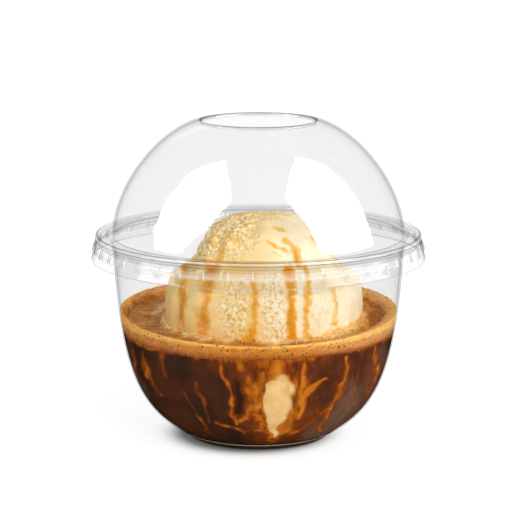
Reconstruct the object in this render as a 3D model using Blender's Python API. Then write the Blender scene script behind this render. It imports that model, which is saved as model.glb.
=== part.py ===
# Affogato in a clear cup under a domed lid: a scoop of ice cream afloat in coffee, with crema round it.
# Metres, Z up. The origin is the middle of the foot that the cup stands on, and the front is -Y.

import math

import bmesh
import bpy
from mathutils import Matrix, Vector, geometry, noise

# Cup: a thermoformed bowl on a low foot, with a flat rim turned down at its edge
WALL = 0.0005
CUP_SIDES = 48
FOOT_RADIUS = 0.0214
FOOT_WIDTH = 0.0018
FOOT_HEIGHT = 0.0012
FLOOR_TOP = 0.0020
BOWL_START = (0.0220, FOOT_HEIGHT)
BOWL_PULL = ((0.0362, 0.0083), (0.0421, 0.0186))
BOWL_END = (0.0440, 0.0570)
MOUTH_PULL = ((0.0444, 0.0592), (0.0454, 0.0614))
RIM_START = (0.0470, 0.0614)
RIM_RADIUS = 0.0484
RIM_TOP = 0.0619
RIM_LIP_BOTTOM = 0.0594

# Lid: a dome with a round hole, a groove at its foot, a flange over the cup's rim and a flared skirt
LID_WALL = 0.0005
RIBS = 44
HOLE_RADIUS = 0.0171
HOLE_LIP_BOTTOM = 0.0959
DOME_TOP = (0.0178, 0.0970)
DOME_PULL = ((0.0294, 0.0946), (0.0434, 0.0781))
DOME_FOOT = (0.0443, 0.0628)
NECK = (0.0437, 0.0620)
GROOVE = (0.0442, 0.0614)
FLANGE_INNER = (0.0457, 0.0627)
FLANGE_OUTER = (0.0489, 0.0628)
SHOULDER = ((0.04945, 0.0623), (0.04955, 0.0617))
SKIRT_WAIST = (0.04935, 0.0609)
RIB_FOOT = (0.0502, 0.0573)
SKIRT_BOTTOM = (0.0507, 0.0552)
RIB_INSET = 0.0004
RIB_HEIGHT = 0.0004
RIB_PHASE = math.radians(-2.85)

# Scoop: a ball pushed a little to the front and right, its top slightly flat and its skin lumpy
SCOOP_MIDDLE = Vector((0.0016, -0.0050, 0.0393))
SCOOP_RADII = Vector((0.0297, 0.0308, 0.0298))
SCOOP_SQUARENESS = 2.25
SCOOP_SHOULDER = (
    (0.0470, 1.00),
    (0.0506, 0.98),
    (0.0535, 0.87),
    (0.0560, 0.81),
    (0.0616, 0.87),
    (0.0646, 0.93),
    (0.0680, 1.04),
)
SCOOP_CUTS = 13
LUMPS = ((70.0, 0.0007), (170.0, 0.0006))
DRIPS = 11
DRIP_HEIGHT = 0.0004

# Drink: coffee to the foam's underside, and foam that climbs the cup's back wall
GAP = 0.00035
CUT_CLEARANCE = 0.00065
COFFEE_TOP = 0.0331
CREMA_BOTTOM = COFFEE_TOP + GAP
CREMA_TOP = 0.0369
CREMA_CLIMB = 0.0030
CREMA_SLOPE_WIDTH = 0.0024

# Counts of straight steps along the curved stretches
BOWL_STEPS = 9
MOUTH_STEPS = 3
DOME_STEPS = 9

CLEAR_COLOUR = (0.86, 0.88, 0.89)
COFFEE_COLOUR = (0.030, 0.014, 0.007)
CREMA_COLOUR = (0.50, 0.26, 0.09)
CREAM_COLOUR = (0.84, 0.70, 0.44)


def curve(start, pulls, end, steps):
    """Points along a Bezier curve in the (radius, height) plane, both ends included."""
    corners = [Vector((x, z, 0)) for x, z in (start, *pulls, end)]
    return [tuple(p.xy) for p in geometry.interpolate_bezier(*corners, steps + 1)]


def beside(line, distance):
    """The line moved sideways by a distance, to the right of its own direction, with mitred corners."""
    points = [Vector(p) for p in line]
    moved = []
    for i, point in enumerate(points):
        before = (point - points[max(i - 1, 0)]).normalized() if i else None
        after = (points[i + 1] - point).normalized() if i + 1 < len(points) else None
        sides = [Vector((d.y, -d.x)) for d in (before, after) if d]
        mean = sum(sides, Vector((0, 0))).normalized()
        moved.append(tuple(point + mean * distance / mean.dot(sides[0])))
    return moved


def material(name, colour, roughness, alpha=1.0):
    finish = bpy.data.materials.new(name)
    finish.use_nodes = True
    shader = finish.node_tree.nodes["Principled BSDF"]
    shader.inputs["Base Color"].default_value = (*colour, 1)
    shader.inputs["Roughness"].default_value = roughness
    shader.inputs["Alpha"].default_value = alpha
    finish.diffuse_color = (*colour, alpha)
    return finish


def turned(profile, sides, closed):
    """A bmesh turned round Z from a profile of (radius, height) points, which closes or ends on the axis."""
    bm = bmesh.new()
    points = [bm.verts.new((radius, 0, height)) for radius, height in profile]
    ends = zip(points, points[1:] + points[:1]) if closed else zip(points, points[1:])
    edges = [bm.edges.new(pair) for pair in ends]
    bmesh.ops.spin(
        bm,
        geom=points + edges,
        axis=(0, 0, 1),
        cent=(0, 0, 0),
        angle=math.tau,
        steps=sides,
        use_merge=True,
    )
    bmesh.ops.remove_doubles(bm, verts=bm.verts, dist=1e-6)
    bmesh.ops.recalc_face_normals(bm, faces=bm.faces)
    return bm


def solid(name, bm, finish):
    """A named object from a bmesh, shaded smooth apart from its sharp edges."""
    mesh = bpy.data.meshes.new(name)
    bm.to_mesh(mesh)
    bm.free()
    mesh.shade_smooth()
    mesh.set_sharp_from_angle(angle=math.radians(40))
    mesh.materials.append(finish)
    made = bpy.data.objects.new(name, mesh)
    bpy.context.scene.collection.objects.link(made)
    return made


def bowl_outside():
    """The cup's outer face, from the top of its foot to where the rim begins."""
    bowl = curve(BOWL_START, BOWL_PULL, BOWL_END, BOWL_STEPS)
    return bowl + curve(BOWL_END, MOUTH_PULL, RIM_START, MOUTH_STEPS)[1:]


def upward(line, low):
    """The stretch of a rising (radius, height) line above a height, with a point at it."""
    return [(radius_at(line, low), low)] + [p for p in line if p[1] > low]


def radius_at(line, height):
    for (r0, z0), (r1, z1) in zip(line, line[1:]):
        if z0 <= height <= z1:
            return r0 + (r1 - r0) * (height - z0) / (z1 - z0)
    raise ValueError("the line doesn't reach that height")


def cup(finish):
    inner_face = beside(bowl_outside(), -WALL)
    inside = [(0, FLOOR_TOP), *upward(inner_face, FLOOR_TOP)]
    rim = [
        (RIM_RADIUS - WALL, RIM_TOP),
        (RIM_RADIUS, RIM_TOP - WALL),
        (RIM_RADIUS, RIM_LIP_BOTTOM),
        (RIM_RADIUS - WALL, RIM_LIP_BOTTOM),
        (RIM_RADIUS - WALL, RIM_TOP - 2 * WALL),
    ]
    foot = [
        (FOOT_RADIUS, 0.5 * FOOT_HEIGHT),
        (FOOT_RADIUS, 0),
        (FOOT_RADIUS - FOOT_WIDTH, 0),
        (FOOT_RADIUS - FOOT_WIDTH - WALL, FOOT_HEIGHT),
        (0, FLOOR_TOP - WALL),
    ]
    profile = inside + rim + bowl_outside()[::-1] + foot
    return solid("cup", turned(profile, CUP_SIDES, closed=False), finish)


def lid(finish):
    dome = curve(DOME_TOP, DOME_PULL, DOME_FOOT, DOME_STEPS)
    flange = [NECK, GROOVE, FLANGE_INNER, FLANGE_OUTER, *SHOULDER]
    outside = dome + flange + [SKIRT_WAIST, RIB_FOOT, SKIRT_BOTTOM]
    inside = beside(outside, LID_WALL)
    lip = [
        (HOLE_RADIUS, HOLE_LIP_BOTTOM),
        (HOLE_RADIUS, DOME_TOP[1] - 0.5 * LID_WALL),
    ]
    lip_inside = (HOLE_RADIUS + LID_WALL, HOLE_LIP_BOTTOM)
    bm = turned(lip + outside + inside[::-1] + [lip_inside], RIBS, closed=True)
    raise_ribs(bm)
    rib_angle = -math.pi / 2 + RIB_PHASE - math.pi / RIBS
    bmesh.ops.rotate(bm, verts=bm.verts, matrix=Matrix.Rotation(rib_angle, 3, "Z"))
    return solid("lid", bm, finish)


def skirt_band(bm):
    """The outer faces of the skirt between its waist and the foot of the ribs."""
    for face in bm.faces:
        middle = face.calc_center_median()
        outward = face.normal.dot(Vector((middle.x, middle.y, 0)).normalized())
        if RIB_FOOT[1] < middle.z < SKIRT_WAIST[1] and outward > 0.5:
            yield face


def raise_ribs(bm):
    """Splits each face of the skirt's band in three, and raises the middle one into a grip rib."""
    level_edges = {
        edge
        for face in skirt_band(bm)
        for edge in face.edges
        if abs(edge.verts[0].co.z - edge.verts[1].co.z) < 1e-6
    }
    bmesh.ops.subdivide_edges(bm, edges=list(level_edges), cuts=2)
    ribs = []
    for face in skirt_band(bm):
        middle = face.calc_center_median()
        column = math.atan2(middle.y, middle.x) % math.tau * RIBS / math.tau
        if 1 / 3 < column % 1 < 2 / 3:
            ribs.append(face)
    bmesh.ops.inset_individual(
        bm, faces=ribs, thickness=RIB_INSET, depth=RIB_HEIGHT, use_even_offset=True
    )


def shoulder_width(height):
    """How much of the ball's width is left at a height, where a narrower crown stands on a broad base."""
    line = SCOOP_SHOULDER
    for (z0, w0), (z1, w1) in zip(line, line[1:]):
        if z0 <= height <= z1:
            return w0 + (w1 - w0) * (height - z0) / (z1 - z0)
    return line[0][1] if height < line[0][0] else line[-1][1]


def scoop_mesh(growth):
    """The scoop as a squared-off ball with lumps and soft drips, each point moved out by the growth."""
    bm = bmesh.new()
    bmesh.ops.create_cube(bm, size=2)
    bmesh.ops.subdivide_edges(bm, edges=bm.edges, cuts=SCOOP_CUTS, use_grid_fill=True)
    for vert in bm.verts:
        ray = Vector(math.tan(c * math.pi / 4) for c in vert.co).normalized()
        spread = sum(abs(c) ** SCOOP_SQUARENESS for c in ray)
        place = ray * spread ** (-1 / SCOOP_SQUARENESS)
        place = Vector(c * r for c, r in zip(place, SCOOP_RADII))
        place.xy *= shoulder_width(SCOOP_MIDDLE.z + place.z)
        relief = sum(height * noise.noise(place * f) for f, height in LUMPS)
        around = math.atan2(ray.y, ray.x)
        on_side = max(0.0, ray.z) * ray.xy.length * 2
        relief += on_side * DRIP_HEIGHT * math.sin(DRIPS * around)
        vert.co = SCOOP_MIDDLE + place + ray * (relief + growth)
    return bm


def cut_round_scoop(piece):
    """Cuts the scoop's bed out of a piece of the drink."""
    bm = scoop_mesh(CUT_CLEARANCE)
    mesh = bpy.data.meshes.new("scoop_bed")
    bm.to_mesh(mesh)
    bm.free()
    cutter = bpy.data.objects.new("scoop_bed_in_" + piece.name, mesh)
    bpy.context.scene.collection.objects.link(cutter)
    cutter.hide_render = True
    cutter.display_type = "WIRE"
    cut = piece.modifiers.new("scoop bed", "BOOLEAN")
    cut.operation = "DIFFERENCE"
    cut.object = cutter


def drink_edge():
    """The line that the drink's side follows, just inside the cup's inner face."""
    return beside(bowl_outside(), -WALL - GAP)


def drink_side(low, high):
    side = [point for point in upward(drink_edge(), low) if point[1] < high]
    return side + [(radius_at(drink_edge(), high), high)]


def coffee(finish):
    side = drink_side(FLOOR_TOP + GAP, COFFEE_TOP)
    profile = [(0, FLOOR_TOP + GAP), *side, (0, COFFEE_TOP)]
    made = solid("coffee", turned(profile, CUP_SIDES, closed=False), finish)
    cut_round_scoop(made)
    return made


def crema(finish):
    side = drink_side(CREMA_BOTTOM, CREMA_TOP)
    top_radius = side[-1][0]
    slope_foot = (top_radius - CREMA_SLOPE_WIDTH, CREMA_TOP)
    profile = [(0, CREMA_BOTTOM), *side, slope_foot, (0, CREMA_TOP)]
    bm = turned(profile, CUP_SIDES, closed=False)
    for vert in bm.verts:
        radius = vert.co.xy.length
        if vert.co.z > CREMA_TOP - GAP and radius > top_radius - 0.5 * CREMA_SLOPE_WIDTH:
            backward = 0.5 + 0.5 * vert.co.y / radius
            height = CREMA_TOP + CREMA_CLIMB * math.sin(0.5 * math.pi * backward)
            outward = radius_at(drink_edge(), height) / radius
            vert.co = (vert.co.x * outward, vert.co.y * outward, height)
    made = solid("crema", bm, finish)
    cut_round_scoop(made)
    return made


def main():
    for old in list(bpy.data.objects):
        bpy.data.objects.remove(old)
    clear = material("clear plastic", CLEAR_COLOUR, 0.05, alpha=0.35)
    cup(clear)
    lid(material("clear lid plastic", CLEAR_COLOUR, 0.05, alpha=0.30))
    coffee(material("coffee", COFFEE_COLOUR, 0.08))
    crema(material("crema", CREMA_COLOUR, 0.35))
    solid("ice_cream", scoop_mesh(0), material("ice cream", CREAM_COLOUR, 0.45))


main()
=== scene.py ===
# The looks of an affogato in a clear lidded cup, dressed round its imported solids: thin clear plastic with
# ribs and rolled corners, coffee with melted swirls, a ring of crema with bubbles, and a lumpy scoop.
# Metres, Z up. The origin is the middle of the foot that the cup stands on, and the front is -Y.
import math
import random

import bmesh
import bpy
import numpy as np
from mathutils import Matrix, Vector, geometry, noise


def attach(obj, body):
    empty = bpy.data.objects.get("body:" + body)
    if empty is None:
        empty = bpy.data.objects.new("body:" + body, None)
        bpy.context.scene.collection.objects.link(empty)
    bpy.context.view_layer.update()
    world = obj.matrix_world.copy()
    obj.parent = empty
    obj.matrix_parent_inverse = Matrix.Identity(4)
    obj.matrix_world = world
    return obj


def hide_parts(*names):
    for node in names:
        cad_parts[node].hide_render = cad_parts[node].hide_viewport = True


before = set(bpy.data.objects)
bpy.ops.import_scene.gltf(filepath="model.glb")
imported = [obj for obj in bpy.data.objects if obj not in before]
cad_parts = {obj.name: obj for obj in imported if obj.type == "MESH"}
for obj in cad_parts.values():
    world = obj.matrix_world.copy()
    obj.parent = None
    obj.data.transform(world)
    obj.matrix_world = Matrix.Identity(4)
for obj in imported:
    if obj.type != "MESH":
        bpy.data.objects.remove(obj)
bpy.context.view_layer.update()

# The camera that the photo was taken with, and where it shows a point
PHOTO_SIZE = 512
SENSOR = 36.0
FOCAL_PIXELS = 2013.0
AXIS_PIXEL = 258.4
EYE = Vector((0, -0.6007, 0.1739))
PITCH = math.radians(11.18)

# How the wall's corners roll over: turns gentler than this stay, and the others get this many steps
GENTLE_TURN = math.radians(9)
CORNER_STEPS = 3

# The cup, as its solid has it
WALL = 0.0005
CUP_CORNER = 0.00028
CUP_SIDES = 208
FOOT_RADIUS = 0.0214
FOOT_WIDTH = 0.0018
FOOT_HEIGHT = 0.0012
FLOOR_TOP = 0.0020
BOWL_START = (0.0220, FOOT_HEIGHT)
BOWL_PULL = ((0.0362, 0.0083), (0.0421, 0.0186))
BOWL_END = (0.0440, 0.0570)
MOUTH_PULL = ((0.0444, 0.0592), (0.0454, 0.0614))
RIM_START = (0.0470, 0.0614)
RIM_RADIUS = 0.0484
RIM_TOP = 0.0619
RIM_LIP_BOTTOM = 0.0594

# The lid, as its solid has it
LID_CORNER = 0.0003
RIBS = 44
HOLE_RADIUS = 0.0171
HOLE_LIP_BOTTOM = 0.0959
DOME_TOP = (0.0178, 0.0970)
DOME_PULL = ((0.0294, 0.0946), (0.0434, 0.0781))
DOME_FOOT = (0.0443, 0.0628)
NECK = (0.0437, 0.0620)
GROOVE = (0.0442, 0.0614)
FLANGE_INNER = (0.0457, 0.0627)
FLANGE_OUTER = (0.0489, 0.0628)
SHOULDER = ((0.04945, 0.0623), (0.04955, 0.0617))
SKIRT_WAIST = (0.04935, 0.0609)
SKIRT_FLARE = ((0.0496, 0.05985), (0.0500, 0.0582))
RIB_FOOT = (0.0502, 0.0573)
SKIRT_BOTTOM = (0.0507, 0.0552)
RIB_HEIGHT = 0.0004
# One rib stands this far round from the front, and its bay begins half a bay before it
RIB_PHASE = math.radians(-2.85)
FIRST_BAY = -math.pi / 2 + RIB_PHASE - math.pi / RIBS
# Where the columns of a rib's bay stand, as shares of the bay, and where the rib's steep sides are
BAY = (0.0, 0.33, 0.345, 0.385, 0.40, 0.5, 0.60, 0.615, 0.655, 0.67)
RIB_SIDES = (0.365, 0.635)
RIB_SIDE_WIDTH = 0.03

# The scoop, as its solid has it, with a finer skin
SCOOP_MIDDLE = Vector((0.0016, -0.0050, 0.0393))
SCOOP_RADII = Vector((0.0297, 0.0308, 0.0298))
SCOOP_SQUARENESS = 2.25
# The share of the round form's width that is left at a height
SHOULDER_HEIGHTS = (0.0465, 0.0498, 0.0527, 0.0556, 0.0616, 0.0646, 0.0680)
SHOULDER_WIDTHS = (1.00, 0.98, 0.865, 0.80, 0.87, 0.93, 1.04)
# The crown sits a little to the right of the broad base, and has shallow grooves down it
CROWN_SHIFT = 0.0008
CROWN_GROOVES = 11
GROOVE_DEPTH = 0.0008
SCOOP_CUTS = 118
# The skin's lumps, as (height, waves a metre), and how deep its finer relief is
LUMPS = ((0.0007, 70), (0.0006, 170))
ICE_RELIEF = 0.00010
FINE_RELIEF = 0.00006
CRUMB_RELIEF = 0.00060
CRUMB_EDGES = 0.00035
PIT_DEPTH = 0.00032
DRIP_HEIGHT = 0.00014

# The drink: its side reaches just into the cup's wall, so that no air shows
INTO_WALL = 0.00015
COFFEE_TOP = 0.0334
CREMA_BOTTOM = 0.0332
CREMA_TOP = 0.0366
DRINK_SIDES = 600
COFFEE_ROW = 0.00034

# The foam's ring along the wall: its width, how far it swells, and how far it climbs at the back
RING_WIDTH = 0.0016
WIDER_RIGHT = 0.0020
WIDER_BACK = 0.0010
RING_SWELL = 0.0004
BACK_CLIMB = 0.0030
FOAM_STEP = 0.00035
FOAM_RINGS = 61
# Its uneven top, as (height, waves a metre), and its wrinkles at the left
SLOW_FOAM = (0.00035, 210)
FINE_FOAM = (0.00020, 700)
WRINKLE_HEIGHT = 0.0005
# Its lower edge waves up and down, and stays out of the coffee
LOW_EDGE_WAVE = (0.0007, 90)
LOW_EDGE_MOST = 0.00015
# Foam this near the wall follows it, and points closer than a hair's breadth count as one place
WALL_BAND = 0.0012
HAIR = 0.00001

# The foam is heaped up against the scoop, but not under the lobe that hangs out in front
HEAP_HEIGHT = 0.0011
HEAP_REACH = (0.0002, 0.0036)
LOBE_MIDDLE = 0.0048
LOBE_WIDTH = 0.0042

# The bubbles: how many are tried at the wall and on top, and how high those at the wall lie
WALL_BUBBLES = 420
TOP_BUBBLES = 520
BUBBLE_HEIGHTS = (0.0339, 0.0366)
BUBBLE_LIMITS = (0.0340, 0.0367)
BUBBLE_DEPTH = 0.00012
# Their radius at the wall and on top, and how much larger the largest ones are
WALL_BUBBLE = 0.00011
TOP_BUBBLE = 0.00014
LARGER = 0.00022
LARGER_BY_SCOOP = 0.00034

# Melted ice cream lies this thick on the foam
PUDDLE_HEIGHT = 0.0004


# Shader nodes


def tone(red, green, blue):
    """A colour given as a photo shows it, from 0 to 255, as the light that the shaders reckon with."""
    shares = [c / 255 for c in (red, green, blue)]
    light = [c / 12.92 if c <= 0.04045 else ((c + 0.055) / 1.055) ** 2.4 for c in shares]
    return (*light, 1.0)


class Level:
    """A number that varies over a surface. The operators on it add the Math nodes."""

    def __init__(self, paint, socket):
        self.paint = paint
        self.socket = socket

    def reckon(self, operation, *values):
        made = self.paint.node("Math", {"operation": operation}, dict(enumerate(values)))
        return Level(self.paint, made.outputs[0])

    def __add__(self, other):
        return self.reckon("ADD", self, other)

    def __sub__(self, other):
        return self.reckon("SUBTRACT", self, other)

    def __rsub__(self, other):
        return self.reckon("SUBTRACT", other, self)

    def __mul__(self, other):
        return self.reckon("MULTIPLY", self, other)

    def __pow__(self, other):
        return self.reckon("POWER", self, other)

    __radd__ = __add__
    __rmul__ = __mul__

    def size(self):
        return self.reckon("ABSOLUTE", self)

    def rise(self, low, high):
        """0 below low and 1 above high, with a smooth step between."""
        sockets = {"Value": self, "From Min": low, "From Max": high}
        made = self.paint.node("MapRange", {"interpolation_type": "SMOOTHSTEP"}, sockets)
        return Level(self.paint, made.outputs["Result"])

    def fall(self, low, high):
        return 1 - self.rise(low, high)


class Paint:
    """A material, and the one way that its nodes are made."""

    def __init__(self, name):
        self.material = bpy.data.materials.new(name)
        self.material.use_nodes = True
        self.tree = self.material.node_tree
        self.tree.nodes.clear()
        self.place = self.node("TexCoord").outputs["Object"]

    def node(self, kind, settings=None, sockets=None):
        made = self.tree.nodes.new("ShaderNode" + kind)
        for name, value in (settings or {}).items():
            setattr(made, name, value)
        for name, value in (sockets or {}).items():
            value = getattr(value, "socket", value)
            if isinstance(value, bpy.types.NodeSocket):
                self.tree.links.new(value, made.inputs[name])
            else:
                made.inputs[name].default_value = value
        return made

    def grain(self, scale, detail=3.0, rough=0.5, stretch=(1, 1, 1), warp=0.0, shift=(0, 0, 0)):
        """Cloudy noise between 0 and 1, with scale in waves a metre, on object coordinates."""
        moved = self.node("Mapping", {}, {"Vector": self.place, "Scale": stretch, "Location": shift})
        sockets = {"Scale": scale, "Detail": detail, "Roughness": rough, "Distortion": warp}
        made = self.node("TexNoise", {}, {"Vector": moved.outputs[0], **sockets})
        return Level(self, made.outputs["Fac"])

    def cells(self, scale):
        """Distance from the nearest of scattered points, in shares of their spacing."""
        made = self.node("TexVoronoi", {}, {"Vector": self.place, "Scale": scale})
        return Level(self, made.outputs["Distance"])

    def painted(self, name, masks=3):
        """The masks that a colour attribute keeps in its channels, as levels."""
        made = self.node("Attribute", {"attribute_name": name})
        split = self.node("SeparateColor", {}, {"Color": made.outputs["Color"]})
        return [Level(self, split.outputs[i]) for i in range(masks)]

    def facing(self):
        """0 where the surface faces the eye, and 1 where it is seen edge on."""
        made = self.node("LayerWeight", {}, {"Blend": 0.5})
        return Level(self, made.outputs["Facing"])

    def blend(self, share, first, second):
        """A colour that goes from the first to the second as the share goes from 0 to 1."""
        made = self.node("Mix", {"data_type": "RGBA"}, {0: share, 6: first, 7: second})
        return made.outputs[2]

    def bump(self, height, distance, strength):
        sockets = {"Height": height, "Distance": distance, "Strength": strength}
        return self.node("Bump", {}, sockets).outputs["Normal"]

    def shader(self, kind, **sockets):
        named = {name.replace("_", " "): value for name, value in sockets.items()}
        return self.node("Bsdf" + kind, {}, named).outputs[0]

    def mixed(self, share, first, second):
        return self.node("MixShader", {}, {0: share, 1: first, 2: second}).outputs[0]

    def finish(self, surface):
        self.node("OutputMaterial", {}, {"Surface": surface})
        return self.material

    def coated(self, colour, **sockets):
        """The finished material, for a surface of this colour."""
        return self.finish(self.shader("Principled", Base_Color=colour, **sockets))


# The finishes


def clear_plastic(name, clearness):
    """Thin clear plastic: faintly tinted, grey seen edge on (partly painted shade), with painted lines of
    shade and highlight at its turns, painted coffee brown in the cup's foot, and glossy.
    """
    paint = Paint(name)
    facing = paint.facing()
    shade_line_mask, highlight_line_mask, rib = paint.painted("edges")
    foot_refraction_mask, flat, quiet = paint.painted("zones")
    # A moulded wall is never quite even: a slow wave in it stirs the gloss
    wave = paint.bump(paint.grain(55.0, 1.0), 0.0004, 0.08)
    side_on = facing.rise(0.50, 0.85)
    gloss = (facing**6.0 * 0.05 + 0.02) * (1 - quiet * 0.65)
    clear = paint.shader("Transparent", Color=(clearness, clearness, clearness, 1))
    edge_on_shade = paint.shader("Transparent", Color=(0.50, 0.505, 0.515, 1))
    dim = paint.shader("Transparent", Color=(0.16, 0.16, 0.17, 1))
    lit = paint.shader("Diffuse", Color=tone(226, 224, 222))
    painted_coffee_refraction = paint.shader("Diffuse", Color=tone(62, 38, 20))
    # Painted shade: seen edge on, the plastic turns grey, partly for the longer path through the wall and
    # partly for the dark that refraction would show
    body = paint.mixed(facing**12.0 * (1 - flat), clear, edge_on_shade)
    # Painted refraction and shade: the cup's foot takes the dark coffee brown that it would bend in from
    # the drink above it
    body = paint.mixed(foot_refraction_mask, body, painted_coffee_refraction)
    # Painted highlight: light lines at the wall's turns, and on the ribs' sides where they face the eye
    body = paint.mixed(highlight_line_mask * 0.7 + rib * (1 - side_on) * 0.35, body, lit)
    # Painted shade: dark lines at the wall's turns, and on the ribs' sides where they are seen edge on
    body = paint.mixed(shade_line_mask * 0.85 + rib * side_on * 0.7, body, dim)
    shine = paint.shader("Glossy", Color=(1, 1, 1, 1), Roughness=0.03, Normal=wave)
    return paint.finish(paint.mixed(gloss, body, shine))


def coffee_finish():
    """Dark coffee behind the wall, with amber and cream wisps where the ice cream melts into it, and a
    painted greyish reflection of the floor low on the wall.
    """
    paint = Paint("coffee with melted swirls")
    amber, pale, haze = paint.painted("swirls")
    sheen, eye = paint.painted("painted_sheen_and_eye", 2)
    wisps = paint.grain(260.0, 6.0, 0.62, (1, 1, 0.60), 2.2)
    threads = paint.grain(130.0, 5.0, 0.60, (1, 1, 0.45), 2.6, (3, 1, 2))
    fine = paint.grain(1100.0, 4.0, 0.62, (1, 1, 0.60), 1.2)
    clouds = paint.grain(75.0, 3.0, 0.55, (1, 1, 0.7), 0.6)
    breaks = paint.grain(190.0, 2.0, 0.5, (1, 1, 1), 0.8)
    veins = (threads - 0.5).size().fall(0.0, 0.045)
    dark = paint.blend(clouds.rise(0.32, 0.68), tone(50, 31, 20), tone(80, 40, 18))
    dark = paint.blend(haze * (0.30 + wisps.rise(0.3, 0.75) * 0.60), dark, tone(134, 56, 0))
    # Painted reflection: a greyish sheen where the cup's lower wall would reflect the floor
    dark = paint.blend(sheen * (0.4 + wisps.rise(0.3, 0.7) * 0.5), dark, tone(130, 98, 80))
    dark = paint.blend(veins * (0.06 + haze * 0.16) * wisps.rise(0.4, 0.7), dark, tone(170, 96, 26))
    loose = amber.rise(0.02, 0.40) * (1 - amber.rise(0.50, 0.95) * 0.7)
    strength = amber + ((wisps - 0.5) * 1.2 + (fine - 0.5) * 0.3 + (breaks - 0.5) * 1.4) * loose
    rust = paint.blend(strength.rise(0.02, 0.56), dark, tone(134, 60, 2))
    warm = paint.blend(strength.rise(0.34, 0.92), rust, tone(184, 104, 14))
    light = paint.blend(strength.rise(0.78, 1.30), warm, tone(222, 154, 58))
    light = paint.blend(eye, light, tone(44, 24, 14))
    milk = pale + (wisps - 0.5) * 0.6 * pale.rise(0.02, 0.3) + (fine - 0.5) * 0.12
    cream = paint.blend(breaks.rise(0.3, 0.7), tone(208, 166, 100), tone(228, 190, 132))
    colour = paint.blend(milk.rise(0.20, 0.90), light, cream)
    return paint.coated(colour, Roughness=0.32, Specular_IOR_Level=0.1)


def crema_finish():
    """Golden foam: pale and bubbly at the wall, browner on the drink, creamy by the scoop, and with a
    painted reflection on its wrinkled left.
    """
    paint = Paint("crema foam")
    ring, left_wrinkles_and_sheen, low = paint.painted("foam")
    pale, seam, melt = paint.painted("froth")
    (puddle,) = paint.painted("puddles", 1)
    clouds = paint.grain(110.0, 4.0, 0.56, (1, 1, 1), 1.4)
    streaks = paint.grain(220.0, 3.0, 0.5, (0.7, 1.1, 1), 1.2)
    froth = paint.grain(900.0, 4.0, 0.7)
    speck = paint.cells(1500.0)
    pore = paint.cells(620.0)
    brown = paint.blend(clouds.rise(0.36, 0.64), tone(170, 92, 0), tone(226, 148, 40))
    # Painted reflection: on the wrinkled left the foam's brown goes lighter and mauve, a sheen of the
    # bright room
    painted_sheen_tone = paint.blend(streaks.rise(0.36, 0.64), tone(150, 94, 28), tone(212, 156, 88))
    brown = paint.blend(left_wrinkles_and_sheen * 0.6, brown, painted_sheen_tone)
    gold = paint.blend(clouds.rise(0.35, 0.66), tone(206, 126, 10), tone(236, 162, 44))
    gold = paint.blend(pale, gold, tone(232, 174, 98))
    gold = paint.blend(low, gold, tone(160, 80, 0))
    base = paint.blend(ring, brown, gold)
    base = paint.blend(seam * 0.65, base, tone(128, 70, 14))
    base = paint.blend(melt * (0.35 + froth.rise(0.35, 0.6) * 0.65), base, tone(244, 188, 88))
    base = paint.blend(froth.rise(0.54, 0.76) * 0.35, base, tone(246, 182, 60))
    dots = speck.fall(0.20, 0.36) * 0.7 * froth.rise(0.32, 0.55)
    holes = pore.fall(0.14, 0.27) * clouds.rise(0.40, 0.5) * 0.85
    colour = paint.blend(dots, base, tone(122, 60, 6))
    colour = paint.blend(holes, colour, tone(88, 42, 6))
    colour = paint.blend(puddle * froth.rise(0.30, 0.52), colour, tone(252, 226, 166))
    height = froth * 0.8 + streaks * left_wrinkles_and_sheen * 0.6 - dots * 0.9 - holes * 1.3
    bumps = paint.bump(height, 0.0004, 0.5)
    return paint.coated(colour, Roughness=0.24 + ring * 0.3, Specular_IOR_Level=0.2, Normal=bumps)


def bubble_finish():
    """A thin skin of foam over a hollow, with painted shade: dark in the middle where the hollow lies,
    golden round its edge, with a wet glint.
    """
    paint = Paint("foam bubbles")
    facing = paint.facing()
    grain = paint.grain(500.0)
    painted_hollow_shade = paint.blend(grain.rise(0.35, 0.65), tone(104, 50, 6), tone(168, 96, 26))
    # Painted shade: dark where the eye looks straight into the hollow, and golden where the skin is seen
    # edge on
    colour = paint.blend(facing.rise(0.30, 0.62), painted_hollow_shade, tone(244, 186, 104))
    return paint.coated(colour, Roughness=0.12, Specular_IOR_Level=0.6)


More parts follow.
